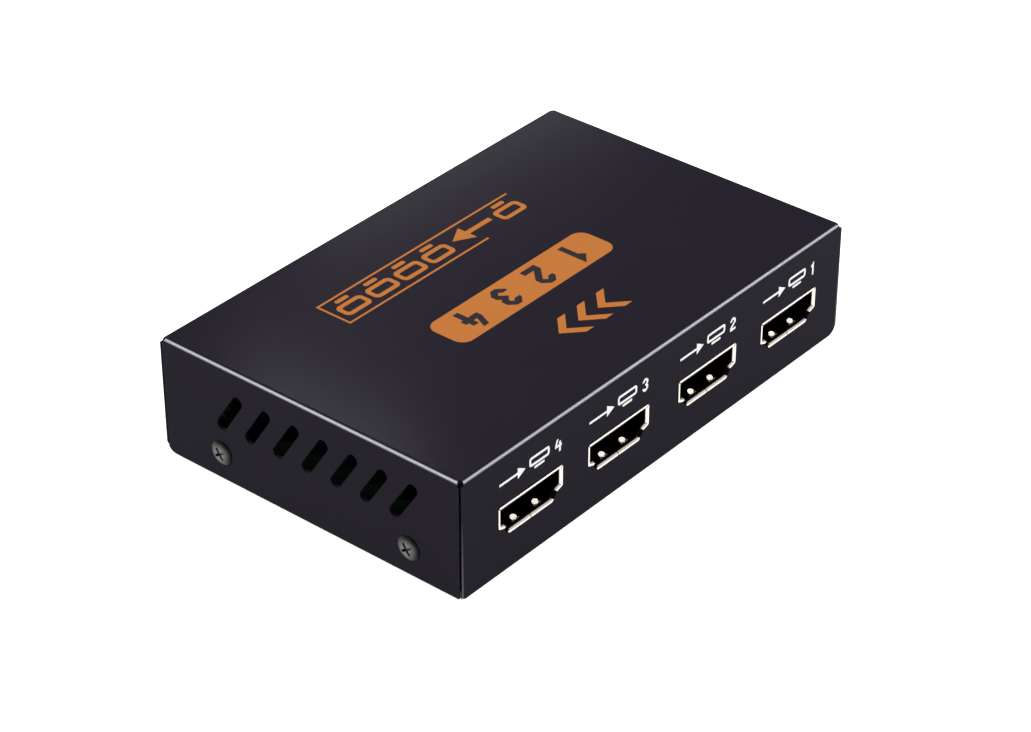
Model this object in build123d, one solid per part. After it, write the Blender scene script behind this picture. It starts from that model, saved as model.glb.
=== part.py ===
from build123d import *
import os

# A small video splitter: one input socket, four output sockets, in a folded steel case.
# +X runs along the long side, the four outputs face -Y, the rear panel faces +Y, +Z is up.
# The origin is under the middle of the case, on the surface that the feet stand on.

os.makedirs("parts", exist_ok=True)

# Case, outside
case_length = 97.0
case_width = 62.0
case_height = 21.4
overrun = 1.0

# Feet
foot_diameter = 8.0
foot_height = 1.0
foot_place_shares = (0.41, 0.37)

# Cover: one steel sheet folded down on four sides
cover_sheet = 0.7
cover_inner_bend = 0.15
corner_gap = 0.3
corner_relief_diameter = 0.95
corner_relief_reach = 0.64
flap_round = 2.0
front_left_flap_round = 1.0

# Slots in both side flaps
vent_count = 7
vent_pitch = 6.0
vent_length = 8.7
vent_width = 2.1
vent_slant = 33
vent_row_centre_share = -0.026
vent_height_share = 0.617

# Base plate with two flanges that stand up inside the side flaps
base_sheet = 0.8
base_fit = 0.15
base_inner_bend = 0.3
flange_height = 8.2
flange_end_share = 0.06

# Screws that hold the cover to the flanges
cover_screw_diameter = 2.5
cover_screw_length = 4.5
cover_screw_head_diameter = 4.2
cover_screw_head_rim = 0.15
cover_screw_head_height = 0.6
cover_screw_height = 4.95
cover_screw_place_shares = (0.299, -0.331)
cover_screw_turns = (34, 35)
screw_hole_clearance = 0.25
thread_clearance = 0.05
cross_width = 0.45
cross_span_share = 0.55
cross_depth_share = 0.9
screw_point_share = 0.15
crown_middle_share = 0.72
crown_rise_share = 0.68

# Circuit board on four standoffs
board_sheet = 1.6
board_end_clearance = 0.5
board_side_clearance = 1.0
board_corner_round = 1.5
standoff_height = 3.5
standoff_diameter = 5.0
standoff_thread_diameter = 2.5
standoff_spigot_diameter = 3.8
board_screw_length = 4.4
board_screw_head_diameter = 4.4
board_screw_head_rim = 0.9
board_screw_head_height = 1.5
standoff_x_share = 0.454
standoff_rear_share = 0.425
standoff_row_gap = 1.116

# Output and input sockets
output_centre_shares = (0.351, 0.123, -0.113, -0.334)
input_centre_share = 0.103
opening_width = 14.0
opening_height = 4.55
opening_side_height = 2.85
opening_bottom_width = 9.7
shoulder_reach = 1.1
shoulder_drop = 0.35
opening_round = 0.35
shell_sheet = 0.35
shell_length = 11.0
shell_proud = 0.05
shell_ground_gap = 0.85
lip_flare = 0.25
lip_depth = 0.5
lip_slit = 0.18
lip_slant_share = 0.8
lip_cut_inset = 0.1
shell_seam = 0.15
panel_cutout_clearance = 0.15
leg_width = 1.5
leg_places = (3.0, 8.6)
leg_tail = 0.6
leg_slot_clearance = 0.15

# Spring leaves pressed out of the shell's floor and roof
leaf_offset = 2.58
leaf_width = 1.7
leaf_window_gap = 0.3
leaf_root = 5.6
leaf_peak = 1.35
leaf_tip = 0.85
leaf_rise = 0.2
leaf_tip_share = 0.3
leaf_peak_flat = 0.35

# Insulator and contacts of a socket
tongue_width = 11.4
tongue_thickness = 0.95
tongue_height = 0.2
tongue_start = 2.3
block_start = 7.2
rear_block_depth = 1.2
insulator_fit = 0.05
contact_width = 0.3
contact_thickness = 0.15
contact_pitch = 1.0
contact_setback = 0.4
contact_foot = 0.9
upper_contacts = 10
lower_contacts = 9

# Round power socket in the rear panel
jack_screw_gap = 1.758
jack_body_width = 9.0
jack_body_height = 10.7
jack_axis_height = 6.4
jack_length = 13.6
jack_nose_diameter = 7.9
jack_nose_length = 1.6
jack_bore_diameter = 6.2
jack_pin_round_share = 0.3
jack_body_round_share = 0.1
jack_bore_depth = 10.0
jack_pin_diameter = 2.0
jack_pin_root_diameter = 2.6
jack_pin_setback = 0.8
jack_panel_clearance = 0.2
jack_rivet_diameter = 3.2
jack_rivet_height = 0.4
jack_tail_width = 2.0
jack_tail_sheet = 0.35
jack_fit = 0.05
jack_spring_rise = 0.5
jack_channel_depth = 0.8
jack_spring_tip_share = 0.24
jack_spring_peak_share = 0.34
jack_spring_bend_share = 0.52
jack_spring_tail_share = 0.62

# Lamps in the rear panel, one for each output and one for power
lamp_count = 5
lamp_pitch = 5.5
lamp_screw_gap = 1.209
lamp_diameter = 3.0
lamp_rim_diameter = 3.8
lamp_length = 5.3
lamp_rim_share = 0.2
lamp_height = 4.4
lamp_hole_clearance = 0.1
lamp_holder_width = 4.2
lamp_holder_depth = 3.0
lamp_lead = 0.5
lamp_lead_pitch = 1.27

# Splitter chip under its heat sink
splitter_chip_size = 14.0
splitter_chip_height = 1.0
splitter_place_shares = (0.03, 0.0)
thermal_pad_height = 0.5
sink_size = 19.0
sink_base = 1.6
sink_fin_height = 5.2
sink_fin_thickness = 1.0
sink_fin_count = 7

# Small parts on the board: sizes, then the gaps to their neighbours
leaded_chip_length = 5.0
leaded_chip_width = 3.9
leaded_chip_height = 1.5
leaded_chip_stand = 0.1
leaded_chip_pins = 4
leaded_chip_pitch = 1.27
chip_lead_width = 0.4
chip_lead_sheet = 0.2
chip_lead_reach = 1.05
chip_lead_foot = 0.55
chip_column_gap = 3.84
crystal_length = 5.0
crystal_width = 3.2
crystal_height = 1.0
crystal_y_share = -0.005
crystal_gap = 0.567
regulator_length = 6.5
regulator_width = 3.5
regulator_height = 1.6
regulator_pins = 3
regulator_pitch = 2.3
regulator_gap = 3.076
inductor_size = 7.0
inductor_height = 3.2
inductor_round = 1.4
inductor_y_share = -0.07
inductor_column_gap = 2.47
can_diameter = 6.3
can_height = 5.0
can_round = 0.5
can_base_height = 0.7
can_base_margin = 0.2
can_y_share = -0.08
can_gap = 2.09
can_column_gap = 3.155
chip_capacitor_length = 1.6
chip_capacitor_width = 0.8
chip_capacitor_height = 0.8
capacitor_column_gap = 2.0
capacitor_row_count = 6
capacitor_row_pitch = 2.6
resistor_length = 1.0
resistor_width = 0.5
resistor_height = 0.35
resistor_count = 8
resistor_pitch = 1.2
resistor_row_gap = 1.4
guard_length = 2.5
guard_width = 1.0
guard_height = 0.5
guard_gap = 0.6
guard_offset = 2.2

# Places worked out from the sizes above
case_bottom = foot_height
case_top = case_bottom + case_height
base_top = case_bottom + base_sheet
board_bottom = base_top + standoff_height
board_top = board_bottom + board_sheet
board_length = case_length - 2 * (cover_screw_length + board_end_clearance)
board_width = case_width - 2 * (cover_sheet + board_side_clearance)
socket_z = board_top + shell_ground_gap + shell_sheet + opening_height / 2
board_level = board_top - socket_z
socket_depth = shell_length + rear_block_depth + contact_thickness + contact_foot
resistor_row_depth = socket_depth + guard_gap + guard_width + resistor_row_gap
screw_z = case_bottom + cover_screw_height
flange_outside = case_length / 2 - cover_sheet - base_fit
standoff_x = standoff_x_share * board_length
resistor_row_end = resistor_row_depth + resistor_length / 2 - shell_proud - case_width / 2
standoff_front_y = resistor_row_end + standoff_row_gap + board_screw_head_diameter / 2
standoff_places = [
    (side * standoff_x, y)
    for side in (-1, 1)
    for y in (standoff_front_y, standoff_rear_share * board_width)
]
screw_head_inside_x = standoff_x - board_screw_head_diameter / 2
jack_x = screw_head_inside_x - jack_screw_gap - jack_body_width / 2
jack_z = board_top + jack_axis_height
lamp_z = board_top + lamp_height
first_lamp_x = -screw_head_inside_x + lamp_screw_gap + lamp_holder_width / 2
lamp_xs = [first_lamp_x + index * lamp_pitch for index in range(lamp_count)]
jack_pin_tail_y = case_width / 2 - jack_length - jack_tail_sheet / 2
jack_spring_tail_y = case_width / 2 - jack_spring_tail_share * jack_length - jack_tail_sheet / 2
jack_channel_floor = jack_z - jack_bore_diameter / 2 - jack_channel_depth
lamp_lead_y = case_width / 2 - lamp_length - lamp_holder_depth / 2
sink_place = (splitter_place_shares[0] * board_length, splitter_place_shares[1] * board_width)
capacitor_column = sink_size / 2 + capacitor_column_gap
capacitor_reach = capacitor_column + chip_capacitor_length / 2
chip_column_x = (
    sink_place[0] - capacitor_reach - chip_column_gap - chip_lead_reach - leaded_chip_width / 2
)
crystal_y = crystal_y_share * board_width
chip_step = crystal_length / 2 + crystal_gap + leaded_chip_length / 2
leaded_chip_places = [(chip_column_x, crystal_y - chip_step), (chip_column_x, crystal_y + chip_step)]
inductor_x = sink_place[0] + capacitor_reach + inductor_column_gap + inductor_size / 2
inductor_y = inductor_y_share * board_width
regulator_step = inductor_size / 2 + regulator_gap + chip_lead_reach + regulator_width / 2
regulator_place = (inductor_x, inductor_y + regulator_step)
can_base_size = can_diameter + 2 * can_base_margin
can_x = inductor_x + inductor_size / 2 + can_column_gap + can_base_size / 2
can_y = can_y_share * board_width
can_places = [(can_x, can_y + can_base_size + can_gap), (can_x, can_y)]
standing = (Align.CENTER, Align.CENTER, Align.MIN)


def block(low, high):
    """A box between two opposite corners."""
    size = [end - start for start, end in zip(low, high)]
    return Pos(*low) * Box(*size, align=(Align.MIN, Align.MIN, Align.MIN))


def seated_block(length, width, height, place, floor):
    """A box that stands on a level, centred on a place."""
    return Pos(place[0], place[1], floor) * Box(length, width, height, align=standing)


def post(diameter, height, place, floor):
    """An upright cylinder that stands on a level."""
    return Pos(place[0], place[1], floor) * Cylinder(diameter / 2, height, align=standing)


def rod_y(diameter, start, end, x, z):
    """A cylinder along Y between two depths."""
    return Pos(x, end, z) * Rot(90, 0, 0) * Cylinder(diameter / 2, end - start, align=standing)


def side_profile(points, width, x):
    """A plate whose outline is given in Y and Z, centred on x."""
    outline = Plane.YZ * Polygon(*points, align=None)
    return Pos(x, 0, 0) * extrude(outline, amount=width / 2, both=True)


def at_output(index):
    """Where an output socket's mouth is: outputs face -Y."""
    return Pos(output_centre_shares[index] * case_length, -case_width / 2 - shell_proud, socket_z)


def at_input():
    """Where the input socket's mouth is: it faces +Y."""
    return Pos(input_centre_share * case_length, case_width / 2 + shell_proud, socket_z) * Rot(0, 0, 180)


# Sockets are drawn about the middle of their mouth: X across, Y into the case, Z up.


def socket_face(growth, depth):
    """The opening's outline, wide above and stepped in below, grown by a margin."""
    half = opening_width / 2
    top = opening_height / 2
    side_foot = top - opening_side_height
    right = [
        (half, top),
        (half, side_foot),
        (half - shoulder_reach, side_foot - shoulder_drop),
        (opening_bottom_width / 2, -top),
    ]
    left = [(-x, z) for x, z in reversed(right)]
    outline = offset(Polygon(*right, *left, align=None), growth, kind=Kind.INTERSECTION)
    outline = fillet(outline.vertices(), opening_round)
    return Plane.XZ.offset(-depth) * outline


def socket_prism(growth, start, end):
    """A solid with the opening's outline between two depths."""
    return extrude(socket_face(growth, start), amount=end - start, dir=(0, 1, 0))


def shell_lip(growth):
    """The mouth's flare: the outline that widens towards the mouth."""
    return loft([socket_face(growth + lip_flare, 0), socket_face(growth, lip_depth)], ruled=True)


def lip_cuts():
    """What parts the flare's petals: a slit at each upper corner and a gap along each slant."""
    half = opening_width / 2
    top = opening_height / 2
    corner = Vector(half, top)
    head = Vector(half - shoulder_reach, top - opening_side_height - shoulder_drop)
    foot = Vector(opening_bottom_width / 2, -top)
    reach = 2 * (shell_sheet + lip_flare)
    slant = (foot - head) * ((1 - lip_slant_share) / 2)
    slit = Vector(1, -1).normalized() * (lip_slit / 2)
    cuts = []
    for start, end, out in (
        (corner - slit, corner + slit, Vector(1, 1).normalized()),
        (head + slant, foot - slant, Vector(head.Y - foot.Y, foot.X - head.X).normalized()),
    ):
        inside, outside = out * lip_cut_inset, out * reach
        points = [start - inside, end - inside, end + outside, start + outside]
        for side in (-1, 1):
            outline = Polygon(*[(side * point.X, point.Y) for point in points], align=None)
            sketch = Plane.XZ.offset(overrun) * outline
            cuts.append(extrude(sketch, amount=overrun + lip_depth, dir=(0, 1, 0)))
    return cuts


def seam_cut():
    """The gap where the strip's two ends meet, along the middle of the shell's floor."""
    half = shell_seam / 2
    return block((-half, -overrun, -opening_height), (half, shell_length + overrun, -opening_height / 4))


def spring_leaf(x, side):
    """A leaf bent into the opening, from the floor (side 1) or the roof (side -1)."""
    wall = -side * opening_height / 2
    path = [
        (leaf_root, 0),
        (leaf_peak + leaf_peak_flat, leaf_rise),
        (leaf_peak - leaf_peak_flat, leaf_rise),
        (leaf_tip, leaf_rise * leaf_tip_share),
    ]
    inner = [(y, wall + side * rise) for y, rise in path]
    outer = [(y, wall + side * (rise - shell_sheet)) for y, rise in reversed(path)]
    return side_profile(inner + outer, leaf_width, x)


def leaf_window(x, side):
    """The slot in the floor or roof that a leaf is pressed out of."""
    half = leaf_width / 2 + leaf_window_gap
    wall = -side * (opening_height + shell_sheet) / 2
    return block(
        (x - half, leaf_tip - leaf_window_gap, wall - shell_sheet),
        (x + half, leaf_root, wall + shell_sheet),
    )


def leg_boxes(clearance, top, bottom):
    """Four legs that run down from the shell's sides, or the slots that take them."""
    boxes = []
    for side in (-1, 1):
        inner = side * (opening_width / 2 - clearance)
        outer = side * (opening_width / 2 + shell_sheet + clearance)
        for place in leg_places:
            front = place - leg_width / 2 - clearance
            back = place + leg_width / 2 + clearance
            boxes.append(block((min(inner, outer), front, bottom), (max(inner, outer), back, top)))
    return boxes


def socket_shell():
    """Folded steel tube with a seam, a flared mouth, four spring leaves and four solder legs."""
    shell = socket_prism(shell_sheet, lip_depth, shell_length)
    shell += shell_lip(shell_sheet)
    shell -= socket_prism(0, lip_depth, shell_length)
    shell -= shell_lip(0)
    shell -= lip_cuts()
    shell -= seam_cut()
    leaves = [(x, side) for x in (-leaf_offset, leaf_offset) for side in (-1, 1)]
    for x, side in leaves:
        shell -= leaf_window(x, side)
        shell += spring_leaf(x, side)
    for leg in leg_boxes(0, 0, board_level - board_sheet - leg_tail):
        shell += leg
    return shell


def contact_xs(count):
    """Contact places across the socket, centred."""
    return [(index - (count - 1) / 2) * contact_pitch for index in range(count)]


def contact_strip(x, level):
    """A contact along the tongue, down behind the block and out along the board."""
    rear = shell_length + rear_block_depth
    back = rear + contact_thickness
    low = level - contact_thickness / 2
    high = level + contact_thickness / 2
    front = tongue_start + contact_setback
    foot = board_level + contact_thickness
    outline = [
        (front, low),
        (rear, low),
        (rear, board_level),
        (back + contact_foot, board_level),
        (back + contact_foot, foot),
        (back, foot),
        (back, high),
        (front, high),
    ]
    return side_profile(outline, contact_width, x)


def socket_contacts():
    """Two rows of gold-plated strips, staggered by half a pitch."""
    face_gap = (tongue_thickness + contact_thickness) / 2
    upper = [contact_strip(x, tongue_height + face_gap) for x in contact_xs(upper_contacts)]
    lower = [contact_strip(x, tongue_height - face_gap) for x in contact_xs(lower_contacts)]
    return Compound(upper + lower)


def socket_insulator(contacts):
    """Moulded block with the tongue that carries the contacts."""
    tongue = block(
        (-tongue_width / 2, tongue_start, tongue_height - tongue_thickness / 2),
        (tongue_width / 2, block_start, tongue_height + tongue_thickness / 2),
    )
    front = socket_prism(-insulator_fit, block_start, shell_length)
    half = opening_width / 2 + shell_sheet
    rear = block(
        (-half, shell_length, board_level),
        (half, shell_length + rear_block_depth, opening_height / 2 + shell_sheet),
    )
    return tongue + front + rear - contacts


def foot_places():
    """The four corners where the feet are stuck."""
    x_share, y_share = foot_place_shares
    return [(sx * x_share * case_length, sy * y_share * case_width) for sx in (-1, 1) for sy in (-1, 1)]


def rubber_feet():
    """Four flat stick-on discs."""
    return Compound([post(foot_diameter, foot_height, place, 0) for place in foot_places()])


def vent_slots():
    """Slanted slots through both side flaps, one tool for each."""
    centre_z = case_bottom + vent_height_share * case_height
    slots = []
    for index in range(vent_count):
        offset_y = (index - (vent_count - 1) / 2) * vent_pitch
        y = vent_row_centre_share * case_width + offset_y
        shape = Rot(0, 0, 90 + vent_slant) * SlotOverall(vent_length, vent_width)
        tool = extrude(Plane.YZ * shape, amount=case_length / 2 + overrun, both=True)
        slots.append(Pos(0, y, centre_z) * tool)
    return slots


def cover_screw_places():
    """Y of each side screw."""
    return [share * case_width for share in cover_screw_place_shares]


def side_holes(diameter):
    """Round tools through both sides at the cover screws."""
    tools = []
    for y in cover_screw_places():
        tools.append(Pos(0, y, screw_z) * Rot(0, 90, 0) * Cylinder(diameter / 2, case_length + overrun))
    return tools


def folded_sheet():
    """The cover's walls: a box open below, rounded along its four upper bends."""
    far_x = case_length / 2
    far_y = case_width / 2
    outer = block((-far_x, -far_y, case_bottom), (far_x, far_y, case_top))
    half_x = far_x - cover_sheet
    half_y = far_y - cover_sheet
    inner = block((-half_x, -half_y, case_bottom - overrun), (half_x, half_y, case_top - cover_sheet))
    outer = fillet(outer.faces().sort_by(Axis.Z)[-1].edges(), cover_inner_bend + cover_sheet)
    inner = fillet(inner.faces().sort_by(Axis.Z)[-1].edges(), cover_inner_bend)
    return outer - inner


def corner_cuts(side_x, side_y):
    """The mitred gap between two flaps and the small relief where their bends meet."""
    corner = Pos(side_x * case_length / 2, side_y * case_width / 2, 0)
    outward = corner * Rot(0, 0, side_y * (90 - side_x * 45))
    shift = -side_x * side_y * corner_gap
    reach = 2 * cover_sheet + corner_gap
    gap = block(
        (-reach, min(0, shift), case_bottom - overrun),
        (overrun, max(0, shift), case_top - cover_sheet),
    )
    half = corner_relief_diameter / 2
    depth = cover_sheet + cover_inner_bend
    relief = block(
        (-corner_relief_reach, -half, case_top - depth),
        (overrun, half, case_top + overrun),
    )
    hole = post(2 * half, depth + overrun, (-corner_relief_reach, 0), case_top - depth)
    return [outward * gap, outward * relief, outward * hole]


def flap_rounding(side_x, side_y, radius):
    """What the rounding of two flaps' lower corners takes off, each up to the mitre."""
    far_x = case_length / 2
    far_y = case_width / 2
    mitre = [(-cover_sheet, -cover_sheet), (overrun, overrun)]
    side_flap = mitre + [(overrun, -radius), (-cover_sheet, -radius)]
    end_flap = mitre + [(-radius, overrun), (-radius, -cover_sheet)]
    low = case_bottom - overrun
    tools = []
    for outline, tilt in ((side_flap, (0, 90, 0)), (end_flap, (90, 0, 0))):
        points = [(side_x * (far_x + x), side_y * (far_y + y)) for x, y in outline]
        tool = Pos(0, 0, low) * extrude(Polygon(*points, align=None), amount=radius + overrun, dir=(0, 0, 1))
        centre = Pos(side_x * (far_x - radius), side_y * (far_y - radius), case_bottom + radius)
        tools.append(tool - centre * Rot(*tilt) * Cylinder(radius, 2 * (radius + overrun)))
    return tools


def cover_corners():
    """All that is cut at the four upright corners."""
    tools = []
    for side_x in (-1, 1):
        for side_y in (-1, 1):
            radius = front_left_flap_round if (side_x, side_y) == (-1, -1) else flap_round
            tools += corner_cuts(side_x, side_y) + flap_rounding(side_x, side_y, radius)
    return tools


def top_cover():
    """Folded cover with its vents, screw holes, socket cut-outs and lamp holes."""
    cover = folded_sheet() - cover_corners()
    cover -= vent_slots()
    cover -= side_holes(cover_screw_diameter + 2 * screw_hole_clearance)
    growth = shell_sheet + lip_flare + panel_cutout_clearance
    cutout = socket_prism(growth, -overrun, cover_sheet + shell_proud + overrun)
    places = [at_output(index) for index in range(len(output_centre_shares))] + [at_input()]
    cover -= [place * cutout for place in places]
    inside = case_width / 2 - cover_sheet - overrun
    outside = case_width / 2 + overrun
    nose_hole = jack_nose_diameter + 2 * jack_panel_clearance
    cover -= rod_y(nose_hole, inside, outside, jack_x, jack_z)
    lamp_hole = lamp_diameter + 2 * lamp_hole_clearance
    cover -= [rod_y(lamp_hole, inside, outside, x, lamp_z) for x in lamp_xs]
    return cover


def base_plate():
    """Flat plate inside the flaps, with a tapped flange at each end."""
    half_x = flange_outside
    half_y = case_width / 2 - cover_sheet - base_fit
    plate = block((-half_x, -half_y, case_bottom), (half_x, half_y, case_bottom + flange_height))
    bottom_edges = plate.edges().filter_by(Axis.Y).group_by(Axis.Z)[0]
    plate = fillet(bottom_edges, base_inner_bend + base_sheet)
    hollow_x = half_x - base_sheet
    hollow = block((-hollow_x, -half_y - overrun, base_top), (hollow_x, half_y + overrun, case_top))
    hollow_edges = hollow.edges().filter_by(Axis.Y).group_by(Axis.Z)[0]
    plate -= fillet(hollow_edges, base_inner_bend)
    notch = flange_end_share * case_width
    for side_x in (-1, 1):
        for side_y in (-1, 1):
            x = side_x * (half_x - base_sheet - base_inner_bend)
            y = side_y * (half_y - notch)
            low = (min(x, 2 * x), min(y, 2 * y), base_top)
            high = (max(x, 2 * x), max(y, 2 * y), case_top)
            plate -= block(low, high)
    plate -= side_holes(cover_screw_diameter + 2 * thread_clearance)
    swage = standoff_spigot_diameter + 2 * thread_clearance
    drill = base_sheet + 2 * overrun
    return plate - [post(swage, drill, place, case_bottom - overrun) for place in standoff_places]


def standoffs():
    """Tapped posts with a spigot swaged through the base plate."""
    posts = []
    bore = standoff_thread_diameter + 2 * thread_clearance
    for place in standoff_places:
        body = post(standoff_diameter, standoff_height, place, base_top)
        body += post(standoff_spigot_diameter, base_sheet, place, case_bottom)
        body -= post(bore, base_sheet + standoff_height + 2 * overrun, place, case_bottom - overrun)
        posts.append(body)
    return Compound(posts)


def cross_recess(diameter, height):
    """The cross-shaped driver recess, cut from the top of a head."""
    depth = height * cross_depth_share
    span = diameter * cross_span_share
    arm = Pos(0, 0, height - depth) * Box(span, cross_width, height, align=standing)
    return arm + Rot(0, 0, 90) * arm


def pan_screw(shank_diameter, length, head_diameter, rim, height):
    """A pan-head screw that stands on its head's seat at Z 0, shank down."""
    radius = head_diameter / 2
    crown = ThreePointArc(
        (radius, 0, rim),
        (radius * crown_middle_share, 0, rim + (height - rim) * crown_rise_share),
        (0, 0, height),
    )
    sides = Polyline((0, 0, height), (0, 0, 0), (radius, 0, 0), (radius, 0, rim))
    head = revolve(make_face([crown, sides]), axis=Axis.Z)
    point = length * screw_point_share
    shank_radius = shank_diameter / 2
    shank = post(shank_diameter, length - point, (0, 0), point - length)
    tip = Pos(0, 0, -length) * Cone(shank_radius - point / 2, shank_radius, point, align=standing)
    return head + shank + tip - cross_recess(head_diameter, height)


def cover_screws():
    """Two screws on each side, seated on the cover."""
    screw = pan_screw(
        cover_screw_diameter,
        cover_screw_length,
        cover_screw_head_diameter,
        cover_screw_head_rim,
        cover_screw_head_height,
    )
    screws = []
    for side in (-1, 1):
        for y, turn in zip(cover_screw_places(), cover_screw_turns):
            place = Pos(side * case_length / 2, y, screw_z) * Rot(0, side * 90, 0)
            screws.append(place * Rot(0, 0, turn) * screw)
    return Compound(screws)


def board_screws():
    """Four screws through the board into the standoffs."""
    screw = pan_screw(
        standoff_thread_diameter,
        board_screw_length,
        board_screw_head_diameter,
        board_screw_head_rim,
        board_screw_head_height,
    )
    return Compound([Pos(x, y, board_top) * screw for x, y in standoff_places])


def circuit_board():
    """The board, with slots and holes for everything that passes through it."""
    outline = RectangleRounded(board_length, board_width, board_corner_round)
    board = Pos(0, 0, board_bottom) * extrude(outline, amount=board_sheet)
    drill = board_sheet + 2 * overrun
    below = board_bottom - overrun
    hole = standoff_thread_diameter + 2 * screw_hole_clearance
    tools = [post(hole, drill, place, below) for place in standoff_places]
    top = board_level + overrun
    bottom = board_level - board_sheet - overrun
    slots = leg_boxes(leg_slot_clearance, top, bottom)
    places = [at_output(index) for index in range(len(output_centre_shares))] + [at_input()]
    tools += [place * slot for place in places for slot in slots]
    for y in (jack_pin_tail_y, jack_spring_tail_y):
        width = jack_tail_width + 2 * leg_slot_clearance
        depth = jack_tail_sheet + 2 * leg_slot_clearance
        tools.append(seated_block(width, depth, drill, (jack_x, y), below))
    lead_hole = lamp_lead + 2 * leg_slot_clearance
    for x in lamp_xs:
        for side in (-1, 1):
            place = (x + side * lamp_lead_pitch, lamp_lead_y)
            tools.append(post(lead_hole, drill, place, below))
    return board - tools


# Power socket in the rear panel: depths run from the panel's outside into the case.


def jack_spring():
    """Bent strip under the bore: it presses on the plug's barrel and ends in a solder tail."""
    tip = jack_spring_tip_share * jack_length
    peak = jack_spring_peak_share * jack_length
    bend = jack_spring_bend_share * jack_length
    tail = jack_spring_tail_share * jack_length
    floor = jack_channel_floor
    bore_level = floor + jack_channel_depth
    sheet = jack_tail_sheet
    bottom = board_bottom - leg_tail
    path = [
        (tail, bottom),
        (tail, floor),
        (bend, floor),
        (peak, bore_level + jack_spring_rise - sheet),
        (tip, bore_level - sheet),
        (tip, bore_level),
        (peak, bore_level + jack_spring_rise),
        (bend, floor + sheet),
        (tail + sheet, floor + sheet),
        (tail + sheet, bottom),
    ]
    outline = [(case_width / 2 - depth, z) for depth, z in path]
    return side_profile(outline, jack_tail_width, jack_x)


def jack_pin():
    """Centre pin riveted to its solder tail behind the body."""
    rear = case_width / 2 - jack_length
    front = case_width / 2 - jack_pin_setback
    bore_floor = case_width / 2 - jack_bore_depth
    pin = rod_y(jack_pin_diameter, rear, front, jack_x, jack_z)
    pin = fillet(pin.edges().sort_by(Axis.Y)[-1], jack_pin_diameter * jack_pin_round_share)
    pin += rod_y(jack_pin_root_diameter, rear, bore_floor, jack_x, jack_z)
    half = jack_tail_width / 2
    tail = block(
        (jack_x - half, rear - jack_tail_sheet, board_bottom - leg_tail),
        (jack_x + half, rear, jack_z + jack_rivet_diameter / 2),
    )
    rivet_end = rear - jack_tail_sheet - jack_rivet_height
    rivet = rod_y(jack_rivet_diameter, rivet_end, rear - jack_tail_sheet, jack_x, jack_z)
    return pin + tail + rivet


def jack_body():
    """Moulded body with a round nose that reaches through the panel."""
    rear = case_width / 2 - jack_length
    shoulder = case_width / 2 - jack_nose_length
    outside = case_width / 2
    half = jack_body_width / 2
    body = block((jack_x - half, rear, board_top), (jack_x + half, shoulder, board_top + jack_body_height))
    upper_edges = body.edges().filter_by(Axis.Y).group_by(Axis.Z)[-1]
    body = fillet(upper_edges, jack_body_width * jack_body_round_share)
    body += rod_y(jack_nose_diameter, shoulder, outside, jack_x, jack_z)
    body -= rod_y(jack_bore_diameter, outside - jack_bore_depth, outside + overrun, jack_x, jack_z)
    pin_hole = jack_pin_root_diameter + 2 * jack_fit
    body -= rod_y(pin_hole, rear - overrun, outside - jack_bore_depth + overrun, jack_x, jack_z)
    channel = jack_tail_width / 2 + jack_fit
    tip = outside - jack_spring_tip_share * jack_length + jack_spring_rise
    tail = outside - jack_spring_tail_share * jack_length
    tail_rear = tail - jack_tail_sheet - jack_fit
    body -= block((jack_x - channel, tail_rear, jack_channel_floor), (jack_x + channel, tip, jack_z))
    body -= block(
        (jack_x - channel, tail_rear, board_top - overrun),
        (jack_x + channel, tail + jack_fit, jack_channel_floor + jack_fit),
    )
    return body


def status_lamps():
    """Round lamps with domed ends that stand flush with the rear panel."""
    lamps = []
    for x in lamp_xs:
        outside = case_width / 2
        radius = lamp_diameter / 2
        lamp = rod_y(lamp_diameter, outside - lamp_length, outside - radius, x, lamp_z)
        lamp += Pos(x, outside - radius, lamp_z) * Sphere(radius)
        rim_end = outside - lamp_length + lamp_length * lamp_rim_share
        lamp += rod_y(lamp_rim_diameter, outside - lamp_length, rim_end, x, lamp_z)
        lamps.append(lamp)
    return Compound(lamps)


def lamp_leads():
    """Two square wires behind each lamp, bent down through the board."""
    start = case_width / 2 - lamp_length
    half = lamp_lead / 2
    outline = [
        (start, lamp_z - half),
        (lamp_lead_y + half, lamp_z - half),
        (lamp_lead_y + half, board_bottom - leg_tail),
        (lamp_lead_y - half, board_bottom - leg_tail),
        (lamp_lead_y - half, lamp_z + half),
        (start, lamp_z + half),
    ]
    leads = []
    for x in lamp_xs:
        for side in (-1, 1):
            leads.append(side_profile(outline, lamp_lead, x + side * lamp_lead_pitch))
    return Compound(leads)


def lamp_holders(leads):
    """A block behind each lamp that holds it at the panel's height."""
    holders = []
    for x in lamp_xs:
        front = case_width / 2 - lamp_length
        height = lamp_height + lamp_holder_width / 2
        place = (x, front - lamp_holder_depth / 2)
        holder = seated_block(lamp_holder_width, lamp_holder_depth, height, place, board_top)
        holders.append(holder - leads)
    return Compound(holders)


# Parts soldered on the board


def splitter_chip():
    """Flat square chip body."""
    size = splitter_chip_size
    return seated_block(size, size, splitter_chip_height, sink_place, board_top)


def thermal_pad():
    """Soft pad between the chip and its heat sink."""
    size = splitter_chip_size
    return seated_block(size, size, thermal_pad_height, sink_place, board_top + splitter_chip_height)


def heat_sink():
    """Extruded base with upright fins."""
    floor = board_top + splitter_chip_height + thermal_pad_height
    sink = seated_block(sink_size, sink_size, sink_base, sink_place, floor)
    step = (sink_size - sink_fin_thickness) / (sink_fin_count - 1)
    for index in range(sink_fin_count):
        x = sink_place[0] + (index - (sink_fin_count - 1) / 2) * step
        height = sink_base + sink_fin_height
        sink += seated_block(sink_fin_thickness, sink_size, height, (x, sink_place[1]), floor)
    return sink


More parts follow.
